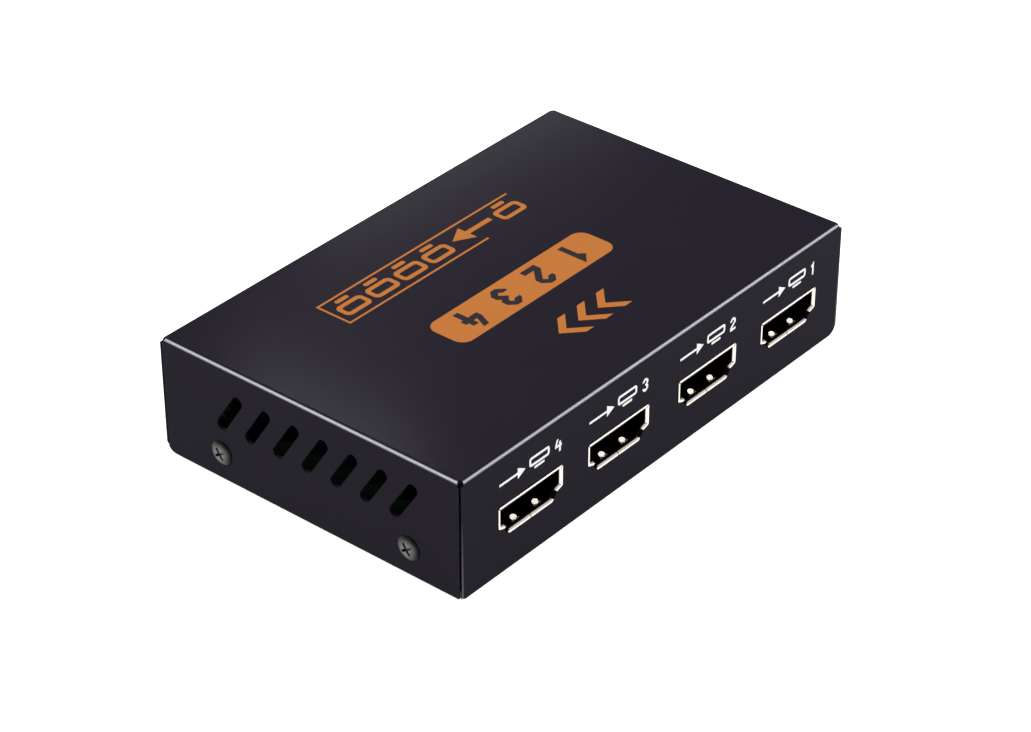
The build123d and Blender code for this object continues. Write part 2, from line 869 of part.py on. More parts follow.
def leaded_chips():
    """Two small control and memory chips, bodies only."""
    floor = board_top + leaded_chip_stand
    size = (leaded_chip_width, leaded_chip_length, leaded_chip_height - leaded_chip_stand)
    return [seated_block(*size, place, floor) for place in leaded_chip_places]


def lead_outline(start, side, middle):
    """A bent lead from a body's side at middle height down to the board and outwards."""
    half = chip_lead_sheet / 2
    knee = chip_lead_reach - chip_lead_foot
    path = [
        (0, middle - half),
        (knee - chip_lead_sheet, middle - half),
        (knee - chip_lead_sheet, board_top),
        (chip_lead_reach, board_top),
        (chip_lead_reach, board_top + chip_lead_sheet),
        (knee, board_top + chip_lead_sheet),
        (knee, middle + half),
        (0, middle + half),
    ]
    return [(start + side * reach, z) for reach, z in path]


def chip_leads():
    """All bent leads of the small chips and of the regulator."""
    leads = []
    middle = board_top + leaded_chip_height / 2
    for x, y in leaded_chip_places:
        for side in (-1, 1):
            outline = lead_outline(x + side * leaded_chip_width / 2, side, middle)
            plate = Plane.XZ * Polygon(*outline, align=None)
            for index in range(leaded_chip_pins):
                lead_y = y + (index - (leaded_chip_pins - 1) / 2) * leaded_chip_pitch
                leads.append(Pos(0, lead_y, 0) * extrude(plate, amount=chip_lead_width / 2, both=True))
    x, y = regulator_place
    middle = board_top + regulator_height / 2
    outline = lead_outline(y - regulator_width / 2, -1, middle)
    for index in range(regulator_pins):
        lead_x = x + (index - (regulator_pins - 1) / 2) * regulator_pitch
        leads.append(side_profile(outline, chip_lead_width, lead_x))
    tab = lead_outline(y + regulator_width / 2, 1, middle)
    leads.append(side_profile(tab, regulator_pitch, x))
    return Compound(leads)


def crystal():
    """Flat metal-lidded clock crystal."""
    place = (chip_column_x, crystal_y)
    return seated_block(crystal_width, crystal_length, crystal_height, place, board_top)


def voltage_regulator():
    """Regulator body near the power socket."""
    return seated_block(regulator_length, regulator_width, regulator_height, regulator_place, board_top)


def power_inductor():
    """Shielded choke with rounded corners."""
    outline = RectangleRounded(inductor_size, inductor_size, inductor_round)
    return Pos(inductor_x, inductor_y, board_top) * extrude(outline, amount=inductor_height)


def capacitor_bases():
    """Square plastic bases under the capacitor cans."""
    size = (can_base_size, can_base_size, can_base_height)
    return Compound([seated_block(*size, place, board_top) for place in can_places])


def bulk_capacitors():
    """Aluminium cans with a rounded top edge."""
    cans = []
    for place in can_places:
        can = post(can_diameter, can_height, place, board_top + can_base_height)
        cans.append(fillet(can.edges().sort_by(Axis.Z)[-1], can_round))
    return Compound(cans)


def ceramic_capacitors():
    """A column of small capacitors on each side of the splitter chip."""
    size = (chip_capacitor_length, chip_capacitor_width, chip_capacitor_height)
    chips = []
    for x in (sink_place[0] - capacitor_column, sink_place[0] + capacitor_column):
        for index in range(capacitor_row_count):
            y = sink_place[1] + (index - (capacitor_row_count - 1) / 2) * capacitor_row_pitch
            chips.append(seated_block(*size, (x, y), board_top))
    return Compound(chips)


def surge_guards():
    """Two guard arrays behind a socket, in the socket's own frame."""
    depth = socket_depth + guard_gap + guard_width / 2
    places = [(-guard_offset, depth), (guard_offset, depth)]
    return [seated_block(guard_length, guard_width, guard_height, place, board_level) for place in places]


def line_resistors():
    """A row of small resistors behind the guard arrays, in the socket's own frame."""
    row = []
    for index in range(resistor_count):
        place = ((index - (resistor_count - 1) / 2) * resistor_pitch, resistor_row_depth)
        row.append(seated_block(resistor_width, resistor_length, resistor_height, place, board_level))
    return row


def save(shape, name):
    """Write one sub-part."""
    export_step(shape, f"parts/{name}.step")


save(top_cover(), "top_cover")
save(base_plate(), "base_plate")
save(rubber_feet(), "rubber_feet")
save(cover_screws(), "cover_screws")
save(standoffs(), "standoffs")
save(board_screws(), "board_screws")
save(circuit_board(), "circuit_board")

shell = socket_shell()
contacts = socket_contacts()
insulator = socket_insulator(contacts)
socket_places = {f"output_{index + 1}": at_output(index) for index in range(len(output_centre_shares))}
socket_places["input"] = at_input()
for name, place in socket_places.items():
    save(place * shell, f"{name}_shell")
    save(place * insulator, f"{name}_insulator")
    save(place * contacts, f"{name}_contacts")

save(jack_body(), "power_jack_body")
save(jack_pin(), "power_jack_pin")
save(jack_spring(), "power_jack_spring")

leads = lamp_leads()
save(status_lamps(), "status_lamps")
save(leads, "lamp_leads")
save(lamp_holders(leads), "lamp_holders")

save(splitter_chip(), "splitter_chip")
save(thermal_pad(), "thermal_pad")
save(heat_sink(), "heat_sink")
control_body, memory_body = leaded_chips()
save(control_body, "control_chip")
save(memory_body, "memory_chip")
save(chip_leads(), "chip_leads")
save(crystal(), "crystal")
save(voltage_regulator(), "voltage_regulator")
save(power_inductor(), "power_inductor")
save(capacitor_bases(), "capacitor_bases")
save(bulk_capacitors(), "bulk_capacitors")
save(ceramic_capacitors(), "ceramic_capacitors")
guards = [place * guard for place in socket_places.values() for guard in surge_guards()]
resistors = [place * chip for place in socket_places.values() for chip in line_resistors()]
save(Compound(guards), "surge_guards")
save(Compound(resistors), "line_resistors")
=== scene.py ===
import math

import bmesh
import bpy
from mathutils import Matrix, Vector


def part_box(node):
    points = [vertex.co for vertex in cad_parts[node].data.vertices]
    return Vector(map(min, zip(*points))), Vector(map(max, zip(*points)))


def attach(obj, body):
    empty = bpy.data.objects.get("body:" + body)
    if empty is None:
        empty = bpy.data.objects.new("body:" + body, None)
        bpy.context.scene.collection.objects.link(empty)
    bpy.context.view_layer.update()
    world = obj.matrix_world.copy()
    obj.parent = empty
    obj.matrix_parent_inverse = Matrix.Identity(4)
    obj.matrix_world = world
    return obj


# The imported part
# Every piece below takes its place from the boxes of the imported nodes, in metres.
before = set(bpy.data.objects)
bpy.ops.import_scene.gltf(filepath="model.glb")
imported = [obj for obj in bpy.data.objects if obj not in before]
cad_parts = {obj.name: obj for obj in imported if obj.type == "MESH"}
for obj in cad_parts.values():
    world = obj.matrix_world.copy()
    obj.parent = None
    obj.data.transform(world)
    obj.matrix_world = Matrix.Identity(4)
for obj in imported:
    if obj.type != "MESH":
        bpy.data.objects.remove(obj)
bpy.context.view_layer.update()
mm = 0.001


# Base plate
# One sheet of steel with a flange folded up at each end, powder coated before it is fitted. It lies
# inside the cover's flaps, and the cover's four screws bite into its flanges.


def linear(colour):
    """An sRGB hex colour as the linear colour that a shader takes."""
    shares = [int(colour[start : start + 2], 16) / 255 for start in (1, 3, 5)]
    return [s / 12.92 if s <= 0.04045 else ((s + 0.055) / 1.055) ** 2.4 for s in shares] + [1.0]


def add_node(material, kind, settings, links):
    """Adds a node, gives its inputs and properties their settings, and links what feeds it."""
    tree = material.node_tree
    node = tree.nodes.new("ShaderNode" + kind)
    for key, value in settings.items():
        if isinstance(key, int) or key in node.inputs:
            node.inputs[key].default_value = value
        else:
            setattr(node, key, value)
    for key, output in links.items():
        tree.links.new(output, node.inputs[key])
    return node


def new_material(name):
    """A material with no nodes yet, and its place in metres as the first output to build on."""
    material = bpy.data.materials.new(name)
    material.use_nodes = True
    material.node_tree.nodes.clear()
    place = add_node(material, "TexCoord", {}, {})
    return material, place.outputs["Object"]


def finish_node(node, material):
    """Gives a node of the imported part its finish."""
    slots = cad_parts[node].data.materials
    slots.clear()
    slots.append(material)


def powder_coated_steel(name):
    """Satin blue-black powder coat: it flows as it cures, which leaves a faint orange peel."""
    cloud_size, peel_size, grit_size = 14 * mm, 0.9 * mm, 0.2 * mm
    steel, place = new_material(name)
    cloud = add_node(steel, "TexNoise", {"Scale": 1 / cloud_size, "Detail": 3.0}, {"Vector": place})
    peel = add_node(steel, "TexNoise", {"Scale": 1 / peel_size, "Detail": 1.0}, {"Vector": place})
    grit = add_node(steel, "TexNoise", {"Scale": 1 / grit_size, "Detail": 2.0}, {"Vector": place})
    tint = {"data_type": "RGBA", 6: linear("#1B1721"), 7: linear("#1D1A23")}
    colour = add_node(steel, "Mix", tint, {0: cloud.outputs[0]})
    satin = {"To Min": 0.34, "To Max": 0.46}
    gloss = add_node(steel, "MapRange", satin, {"Value": grit.outputs[0]})
    grit_height = {"Strength": 0.3, "Distance": 0.004 * mm}
    grain = add_node(steel, "Bump", grit_height, {"Height": grit.outputs[0]})
    peel_height = {"Strength": 0.5, "Distance": 0.008 * mm}
    both = {"Height": peel.outputs[0], "Normal": grain.outputs["Normal"]}
    relief = add_node(steel, "Bump", peel_height, both)
    # The specular level is far below the usual 0.5, to match the photograph's dark faces.
    coat = add_node(
        steel,
        "BsdfPrincipled",
        {"IOR": 1.5, "Specular IOR Level": 0.01, "Coat Weight": 0.05, "Coat Roughness": 0.13},
        {
            "Base Color": colour.outputs[2],
            "Roughness": gloss.outputs[0],
            "Normal": relief.outputs["Normal"],
        },
    )
    add_node(steel, "OutputMaterial", {}, {"Surface": coat.outputs[0]})
    return steel, coat, colour, gloss


base_steel, _, _, _ = powder_coated_steel("powder_coated_steel_base")
finish_node("base_plate", base_steel)


# Standoffs
# Four turned brass posts, tapped for the board's screws and swaged into the base plate. They are
# nickel plated, which leaves the fine rings of the turning tool visible.


def plated_metal(name, pale, deep, roughness, grain):
    """Metal under a thin plating, whose fine marks have the grain's size in mm along X, Y and Z."""
    metal, place = new_material(name)
    scale = [1 / (size * mm) for size in grain]
    marks = add_node(metal, "Mapping", {"Scale": scale}, {"Vector": place})
    noise = add_node(
        metal,
        "TexNoise",
        {"Scale": 1.0, "Detail": 3.0, "Roughness": 0.6},
        {"Vector": marks.outputs[0]},
    )
    tint = {"data_type": "RGBA", 6: linear(deep), 7: linear(pale)}
    colour = add_node(metal, "Mix", tint, {0: noise.outputs[0]})
    spread = {"To Min": roughness * 0.75, "To Max": roughness * 1.25}
    gloss = add_node(metal, "MapRange", spread, {"Value": noise.outputs[0]})
    relief = add_node(
        metal, "Bump", {"Strength": 0.4, "Distance": 0.003 * mm}, {"Height": noise.outputs[0]}
    )
    shader = add_node(
        metal,
        "BsdfPrincipled",
        {"Metallic": 1.0},
        {
            "Base Color": colour.outputs[2],
            "Roughness": gloss.outputs[0],
            "Normal": relief.outputs["Normal"],
        },
    )
    add_node(metal, "OutputMaterial", {}, {"Surface": shader.outputs[0]})
    return metal, shader, colour


nickel_brass, _, _ = plated_metal(
    "nickel_plated_brass", "#CFC9B8", "#B4AD9A", 0.28, (0.5, 0.5, 0.08)
)
finish_node("standoffs", nickel_brass)


# Circuit board
# Glass and epoxy laminate with copper tracks under dark green solder mask. The mask is a little
# paler over the copper, and the sawn edges show the dark laminate. Sizes of the tracks are in mm.

track_pitch, track_run, track_width = 1.1, 7.5, 0.22
laminate, place = new_material("solder_masked_laminate")
tracks = add_node(
    laminate,
    "TexBrick",
    {
        "Color1": linear("#10221A"),
        "Color2": linear("#12251C"),
        "Mortar": linear("#1B3326"),
        "Scale": 1 / mm,
        "Mortar Size": track_width / 2,
        "Mortar Smooth": 0.2,
        "Brick Width": track_run,
        "Row Height": track_pitch,
    },
    {"Vector": place},
)
normal = add_node(laminate, "NewGeometry", {}, {})
tilt = add_node(laminate, "SeparateXYZ", {}, {0: normal.outputs["Normal"]})
flat = add_node(laminate, "Math", {"operation": "ABSOLUTE"}, {0: tilt.outputs["Z"]})
face = add_node(laminate, "Math", {"operation": "GREATER_THAN", 1: 0.5}, {0: flat.outputs[0]})
cut_edge = {"data_type": "RGBA", 6: linear("#25231A")}
colour = add_node(laminate, "Mix", cut_edge, {0: face.outputs[0], 7: tracks.outputs["Color"]})
relief = add_node(
    laminate, "Bump", {"Strength": 0.6, "Distance": 0.03 * mm}, {"Height": tracks.outputs["Fac"]}
)
gloss = add_node(laminate, "MapRange", {"To Min": 0.6, "To Max": 0.28}, {"Value": face.outputs[0]})
mask = add_node(
    laminate,
    "BsdfPrincipled",
    {"IOR": 1.52},
    {
        "Base Color": colour.outputs[2],
        "Roughness": gloss.outputs[0],
        "Normal": relief.outputs["Normal"],
    },
)
add_node(laminate, "OutputMaterial", {}, {"Surface": mask.outputs[0]})
finish_node("circuit_board", laminate)


# Board screws
# Four pan-head machine screws of cold-headed steel with a dull nickel plating. They clamp the board
# to the standoffs.

screw_steel, _, _ = plated_metal(
    "nickel_plated_screw_steel", "#5C5A57", "#403F3D", 0.38, (0.3, 0.3, 0.3)
)
finish_node("board_screws", screw_steel)


# Socket insulators
# Black glass-filled resin, moulded as one block with the tongue that carries the contacts. The
# short fibres near its skin show as paler specks, and the skin is matt.


def moulded_solid(name, body, speck, roughness, grain, ior):
    """A moulded, pressed or fired solid, with specks in its skin of the grain's size in mm."""
    solid, place = new_material(name)
    fine = {"Scale": 1 / (grain * mm), "Detail": 2.0}
    specks = add_node(solid, "TexNoise", fine, {"Vector": place})
    share = add_node(
        solid, "MapRange", {"From Min": 0.45, "From Max": 0.75}, {"Value": specks.outputs[0]}
    )
    tint = {"data_type": "RGBA", 6: linear(body), 7: linear(speck)}
    colour = add_node(solid, "Mix", tint, {0: share.outputs[0]})
    spread = {"To Min": roughness * 0.85, "To Max": min(1.0, roughness * 1.15)}
    gloss = add_node(solid, "MapRange", spread, {"Value": specks.outputs[0]})
    relief = add_node(
        solid, "Bump", {"Strength": 0.4, "Distance": 0.01 * mm}, {"Height": specks.outputs[0]}
    )
    shader = add_node(
        solid,
        "BsdfPrincipled",
        {"IOR": ior},
        {
            "Base Color": colour.outputs[2],
            "Roughness": gloss.outputs[0],
            "Normal": relief.outputs["Normal"],
        },
    )
    add_node(solid, "OutputMaterial", {}, {"Surface": shader.outputs[0]})
    return solid


black_resin = moulded_solid("glass_filled_black_resin", "#0B0B0C", "#1A1A1B", 0.55, 0.12, 1.6)
sockets = ["output_1", "output_2", "output_3", "output_4", "input"]
for socket in sockets:
    finish_node(f"{socket}_insulator", black_resin)


# Socket contacts
# Nineteen strips of phosphor bronze in two rows, stamped and bent, with a thin flash of gold over
# nickel. Stamping leaves faint lines along them.

gold_flash, _, _ = plated_metal("gold_plated_bronze", "#E8BE66", "#CFA04A", 0.24, (0.06, 2.0, 0.3))
for socket in sockets:
    finish_node(f"{socket}_contacts", gold_flash)


# Socket shells
# Thin steel strip folded round the insulator and flared at its mouth, with four legs soldered to
# the board. Such shells are usually bright nickel plated all over. Behind the rim these are painted
# nearly black, inside and out, as a painted shade for the dark bore.

rim_depth, bore_shade = 0.24 * mm, 0.1 * mm
shell_steel, shell_shader, shell_colour = plated_metal(
    "bright_nickel_plated_steel", "#FBF4EC", "#EADFD5", 0.24, (2.5, 0.2, 0.2)
)
mouth_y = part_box("input_shell")[1].y
shell_place = add_node(shell_steel, "TexCoord", {}, {})
depth_axis = add_node(shell_steel, "SeparateXYZ", {}, {0: shell_place.outputs["Object"]})
depth = add_node(shell_steel, "Math", {"operation": "ABSOLUTE"}, {0: depth_axis.outputs["Y"]})
bright = add_node(
    shell_steel,
    "MapRange",
    {"From Min": mouth_y - rim_depth - bore_shade, "From Max": mouth_y - rim_depth},
    {"Value": depth.outputs[0]},
)
# Behind the rim the shell's colour is a painted shade, nearly black, inside and out.
painted_shade_colour = {"data_type": "RGBA", 6: linear("#0D0B0A")}
bore = add_node(shell_steel, "Mix", painted_shade_colour, {0: bright.outputs[0], 7: shell_colour.outputs[2]})
shell_steel.node_tree.links.new(bore.outputs[2], shell_shader.inputs["Base Color"])
for socket in sockets:
    finish_node(f"{socket}_shell", shell_steel)


# Crests of the spring leaves
# Each leaf in a socket's floor and roof is pressed up into a round crest near its tip, sloped to
# the mouth, that a plug rides over. Their nickel is paler and rougher than the shells': partly its
# own colour, partly a painted highlight.

crest_width, crest_depth, crest_rise, crest_sink = 1.25 * mm, 0.92 * mm, 0.4 * mm, 0.06 * mm
crest_turns, wall_corners = 32, 4
leaf_offset, leaf_depth, leaf_rise = 2.58 * mm, 1.37 * mm, 0.15 * mm
opening_height, rim_above_opening = 4.55 * mm, 0.6 * mm
# The crests' paler colour is partly the nickel's own and partly a painted highlight.
crest_highlight_nickel, _, _ = plated_metal(
    "painted_highlight_nickel_crest", "#FFF8EE", "#F6EDE1", 0.5, (0.2, 0.2, 0.2)
)


def add_crest(mesh, place, inward, up):
    """Adds a crest to a bmesh: a round plate that rises away from the mouth, closed below."""
    turns = [turn / crest_turns * math.tau for turn in range(crest_turns)]
    top, foot = [], []
    for around in turns:
        across, along = crest_width / 2 * math.cos(around), crest_depth / 2 * math.sin(around)
        level = crest_rise * (0.5 + math.sin(around) / 2)
        top.append(mesh.verts.new(place + Vector((across, inward * along, up * level))))
        foot.append(mesh.verts.new(place + Vector((across, inward * along, -up * crest_sink))))
    mesh.faces.new(top)
    mesh.faces.new(foot)
    for turn in range(crest_turns):
        after = (turn + 1) % crest_turns
        mesh.faces.new((top[turn], top[after], foot[after], foot[turn]))


def add_piece(name, mesh, material):
    """Turns a bmesh into a piece of one material that rides on the case."""
    bmesh.ops.recalc_face_normals(mesh, faces=mesh.faces)
    data = bpy.data.meshes.new(name)
    mesh.to_mesh(data)
    mesh.free()
    data.materials.append(material)
    piece = bpy.data.objects.new(name, data)
    bpy.context.scene.collection.objects.link(piece)
    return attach(piece, "root")


def socket_mouth(socket):
    """The middle of a socket's mouth, and the way along Y that goes into the case."""
    low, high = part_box(f"{socket}_shell")
    inward = -1 if socket == "input" else 1
    mouth = high.y if socket == "input" else low.y
    level = high.z - rim_above_opening - opening_height / 2
    return Vector(((low.x + high.x) / 2, mouth, level)), inward


for socket in sockets:
    mouth, inward = socket_mouth(socket)
    crests = bmesh.new()
    for side in (-1, 1):
        for up in (-1, 1):
            wall = -up * (opening_height / 2 - leaf_rise)
            place = mouth + Vector((side * leaf_offset, inward * leaf_depth, wall))
            add_crest(crests, place, inward, up)
    piece = add_piece(f"{socket}_leaf_crests", crests, crest_highlight_nickel)
    # Only the walls, faces with four corners, are shaded smooth.
    for polygon in piece.data.polygons:
        polygon.use_smooth = len(polygon.vertices) == wall_corners


# Power socket
# A moulded body with a round nose that comes through the panel, a turned centre pin and a bent
# spring that presses on the plug's barrel, both nickel plated.

jack_resin = moulded_solid("black_nylon_moulding", "#0D0D0E", "#161617", 0.42, 0.3, 1.53)
finish_node("power_jack_body", jack_resin)
finish_node("power_jack_pin", nickel_brass)
finish_node("power_jack_spring", nickel_brass)


# Status lamps
# Five round lamps of tinted clear epoxy, cast round their wires and held at the panel by moulded
# blocks. The epoxy is glossy, and a little cloudy inside.

haze_size = 0.8 * mm
lens, place = new_material("tinted_epoxy_lens")
haze = add_node(lens, "TexNoise", {"Scale": 1 / haze_size, "Detail": 2.0}, {"Vector": place})
tint = {"data_type": "RGBA", 6: linear("#9FD6A8"), 7: linear("#B9E3BF")}
colour = add_node(lens, "Mix", tint, {0: haze.outputs[0]})
gloss = add_node(lens, "MapRange", {"To Min": 0.1, "To Max": 0.22}, {"Value": haze.outputs[0]})
epoxy = add_node(
    lens,
    "BsdfPrincipled",
    {"IOR": 1.54, "Transmission Weight": 0.35},
    {"Base Color": colour.outputs[2], "Roughness": gloss.outputs[0]},
)
add_node(lens, "OutputMaterial", {}, {"Surface": epoxy.outputs[0]})
finish_node("status_lamps", lens)
finish_node("lamp_holders", jack_resin)

tinned_wire, _, _ = plated_metal("matt_tin_plating", "#C4C4C1", "#A5A5A2", 0.42, (0.2, 0.2, 0.6))
finish_node("lamp_leads", tinned_wire)


# Splitter chip, its pad and its heat sink
# The chip is pressed from matt black resin. A soft grey silicone pad takes its heat to an extruded
# aluminium sink, anodised black.

chip_resin = moulded_solid("black_chip_resin", "#17171A", "#242428", 0.62, 0.1, 1.55)
pad_silicone = moulded_solid("grey_silicone_pad", "#8E9AA3", "#A9B3BA", 0.8, 0.25, 1.41)
finish_node("splitter_chip", chip_resin)
finish_node("thermal_pad", pad_silicone)
anodised, _, _ = plated_metal(
    "black_anodised_aluminium", "#2E2F33", "#222327", 0.4, (0.12, 8.0, 0.12)
)
finish_node("heat_sink", anodised)


# Control and memory chips, regulator, surge guards, leads and crystal
# Small bodies pressed from the same resin, on bent leads plated with matt tin, and a quartz crystal
# under a drawn steel lid.

for node in ("control_chip", "memory_chip", "voltage_regulator", "surge_guards"):
    finish_node(node, chip_resin)
finish_node("chip_leads", tinned_wire)
lid_steel, _, _ = plated_metal("drawn_steel_lid", "#C9C7C1", "#AEACA6", 0.26, (0.15, 3.0, 0.15))
finish_node("crystal", lid_steel)


# Choke and large capacitors
# The choke is sintered ferrite, grey and grainy. The capacitors are drawn aluminium cans on black
# plastic bases, brushed round by the drawing.

ferrite = moulded_solid("sintered_ferrite", "#3B3B3D", "#57575A", 0.78, 0.15, 1.9)
finish_node("power_inductor", ferrite)
finish_node("capacitor_bases", jack_resin)
can_aluminium, _, _ = plated_metal("drawn_aluminium", "#DADADB", "#BDBDBF", 0.3, (0.4, 0.4, 3.0))
finish_node("bulk_capacitors", can_aluminium)


# Small capacitors and resistors
# Fired ceramic blocks with tinned ends: tan capacitors beside the splitter chip, and rows of black
# resistors behind the sockets.


def tinned_end_ceramic(name, node, axis, body, half_length, end_length):
    """Ceramic between two tinned ends, which lie where a row's distance along the axis says."""
    grain_size = 0.1 * mm
    low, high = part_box(node)
    middle = (low[axis] + high[axis]) / 2
    row = (high[axis] - low[axis]) / 2 - half_length
    ceramic, place = new_material(name)
    parts = add_node(ceramic, "SeparateXYZ", {}, {0: place})
    to_middle = {"operation": "SUBTRACT", 1: middle}
    shift = add_node(ceramic, "Math", to_middle, {0: parts.outputs[axis]})
    reach = add_node(ceramic, "Math", {"operation": "ABSOLUTE"}, {0: shift.outputs[0]})
    offset = add_node(ceramic, "Math", {"operation": "SUBTRACT", 1: row}, {0: reach.outputs[0]})
    along = add_node(ceramic, "Math", {"operation": "ABSOLUTE"}, {0: offset.outputs[0]})
    limit = {"operation": "GREATER_THAN", 1: half_length - end_length}
    end = add_node(ceramic, "Math", limit, {0: along.outputs[0]})
    fine = {"Scale": 1 / grain_size, "Detail": 2.0}
    grain = add_node(ceramic, "TexNoise", fine, {"Vector": place})
    tint = {"data_type": "RGBA", 6: linear(body), 7: linear("#C9C9C6")}
    colour = add_node(ceramic, "Mix", tint, {0: end.outputs[0]})
    glazed = {"To Min": 0.35, "To Max": 0.55}
    gloss = add_node(ceramic, "MapRange", glazed, {"Value": grain.outputs[0]})
    shader = add_node(
        ceramic,
        "BsdfPrincipled",
        {"IOR": 1.6},
        {
            "Base Color": colour.outputs[2],
            "Roughness": gloss.outputs[0],
            "Metallic": end.outputs[0],
        },
    )
    add_node(ceramic, "OutputMaterial", {}, {"Surface": shader.outputs[0]})
    finish_node(node, ceramic)


capacitor_half, capacitor_end = 0.8 * mm, 0.3 * mm
resistor_half, resistor_end = 0.5 * mm, 0.2 * mm
tinned_end_ceramic(
    "tan_ceramic", "ceramic_capacitors", 0, "#A88A66", capacitor_half, capacitor_end
)
tinned_end_ceramic(
    "black_glazed_ceramic", "line_resistors", 1, "#1B1B1E", resistor_half, resistor_end
)


# Top cover
# One sheet of steel, sheared, punched and folded down on four sides, then powder coated. The pale
# lines over the upper bends and low on the long flaps' ends are painted highlights, where the coat
# is also glossier.

bend_start, bend_middle = 0.58 * mm, 0.5 * mm
end_width, end_skin = 0.38 * mm, 0.02 * mm
end_top, end_foot, end_share = 16 * mm, 2 * mm, 0.26
highlight_roughness, coat_shine, highlight_shine = 0.4, 0.005, 0.43
case_low, case_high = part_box("top_cover")
cover_steel, cover_coat, cover_colour, cover_gloss = powder_coated_steel(
    "powder_coated_steel_cover"
)
cover_place = add_node(cover_steel, "TexCoord", {}, {})
folded = {"operation": "ABSOLUTE"}
quarter = add_node(cover_steel, "VectorMath", folded, {0: cover_place.outputs["Object"]})
parts = add_node(cover_steel, "SeparateXYZ", {}, {0: quarter.outputs[0]})
bend_highlights = []
for axis, half in ((0, case_high.x), (1, case_high.y)):
    corner = half + case_high.z
    both = {0: parts.outputs[axis], 1: parts.outputs[2]}
    reach = add_node(cover_steel, "Math", {"operation": "ADD"}, both)
    line = {"From Min": corner - bend_start, "From Max": corner - bend_middle}
    bend_highlights.append(add_node(cover_steel, "MapRange", line, {"Value": reach.outputs[0]}))
either = {0: bend_highlights[0].outputs[0], 1: bend_highlights[1].outputs[0]}
bends = add_node(cover_steel, "Math", {"operation": "MAXIMUM"}, either)
low_end = {"From Min": end_top, "From Max": end_foot, "To Max": end_share}
ends = add_node(cover_steel, "MapRange", low_end, {"Value": parts.outputs[2]})
for axis, start in ((0, case_high.x - end_width), (1, case_high.y - end_skin)):
    past = {"operation": "GREATER_THAN", 1: start}
    inside = add_node(cover_steel, "Math", past, {0: parts.outputs[axis]})
    both = {0: ends.outputs[0], 1: inside.outputs[0]}
    ends = add_node(cover_steel, "Math", {"operation": "MULTIPLY"}, both)
either = {0: bends.outputs[0], 1: ends.outputs[0]}
bends = add_node(cover_steel, "Math", {"operation": "MAXIMUM"}, either)
# The paler colour over the bends and low on the long flaps' ends is a painted highlight.
paler = {"data_type": "RGBA", 7: linear("#827F8A")}
painted_highlight_colour = add_node(cover_steel, "Mix", paler, {0: bends.outputs[0], 6: cover_colour.outputs[2]})
both = {0: bends.outputs[0], 2: cover_gloss.outputs[0]}
polish = add_node(cover_steel, "Mix", {3: highlight_roughness}, both)
shines = {"To Min": coat_shine, "To Max": highlight_shine}
shine = add_node(cover_steel, "MapRange", shines, {"Value": bends.outputs[0]})
cover_steel.node_tree.links.new(painted_highlight_colour.outputs[2], cover_coat.inputs["Base Color"])
cover_steel.node_tree.links.new(polish.outputs[0], cover_coat.inputs["Roughness"])
cover_steel.node_tree.links.new(shine.outputs[0], cover_coat.inputs["Specular IOR Level"])
finish_node("top_cover", cover_steel)


# Printed marks
# Screen-printed ink, a few hundredths of a millimetre thick: white above the sockets and on the
# rear panel, orange on the top. The ink is matt, with the faint cells of the screen's mesh. Places
# and sizes of the marks are in mm from the middle of what they belong to.

ink_thickness, mesh_pitch, patch_size = 0.03 * mm, 0.16 * mm, 5 * mm


def screen_ink(name, colour, shade):
    """Matt ink with the print screen's cells in its surface, drawn at their real pitch."""
    ink, place = new_material(name)
    mesh = {"Scale": 1 / mesh_pitch, "Randomness": 0.3}
    cells = add_node(ink, "TexVoronoi", mesh, {"Vector": place})
    patches = {"Scale": 1 / patch_size, "Detail": 3.0}
    density = add_node(ink, "TexNoise", patches, {"Vector": place})
    tint = {"data_type": "RGBA", 6: linear(shade), 7: linear(colour)}
    tinted = add_node(ink, "Mix", tint, {0: density.outputs[0]})
    cell_height = {"Strength": 0.3, "Distance": 0.004 * mm}
    relief = add_node(ink, "Bump", cell_height, {"Height": cells.outputs["Distance"]})
    matt = {"To Min": 0.5, "To Max": 0.62}
    gloss = add_node(ink, "MapRange", matt, {"Value": cells.outputs["Distance"]})
    shader = add_node(
        ink,
        "BsdfPrincipled",
        {"IOR": 1.5, "Specular IOR Level": 0.2},
        {
            "Base Color": tinted.outputs[2],
            "Roughness": gloss.outputs[0],
            "Normal": relief.outputs["Normal"],
        },
    )
    add_node(ink, "OutputMaterial", {}, {"Surface": shader.outputs[0]})
    return ink


white_ink = screen_ink("white_screen_ink", "#F4F3F2", "#ECEBEA")
orange_ink = screen_ink("orange_screen_ink", "#A76323", "#A15E20")
dark_ink = screen_ink("blue_black_screen_ink", "#18131E", "#140F19")


def film(*loops):
    """The mesh of a film of ink inside closed loops in mm, where an inner loop is a hole."""
    curve = bpy.data.curves.new("film", "CURVE")
    curve.dimensions = "2D"
    curve.fill_mode = "BOTH"
    curve.extrude = ink_thickness
    for loop in loops:
        spline = curve.splines.new("POLY")
        spline.points.add(len(loop) - 1)
        for point, (u, v) in zip(spline.points, loop):
            point.co = (u * mm, v * mm, 0, 1)
        spline.use_cyclic_u = True
    holder = bpy.data.objects.new("film", curve)
    mesh = bpy.data.meshes.new_from_object(holder)
    bpy.data.objects.remove(holder)
    bpy.data.curves.remove(curve)
    return mesh


def stroke(path, line):
    """The loop round an even stroke along a path of straight runs."""
    points = [Vector(point) for point in path]
    runs = [(after - before).normalized() for before, after in zip(points, points[1:])]
    left, right = [], []
    for index, point in enumerate(points):
        before, after = runs[max(index - 1, 0)], runs[min(index, len(runs) - 1)]
        joint = Vector((-before.y - after.y, before.x + after.x)).normalized()
        reach = joint * (line / 2 / joint.dot(Vector((-after.y, after.x))))
        left.append(tuple(point + reach))
        right.append(tuple(point - reach))
    return left + right[::-1]


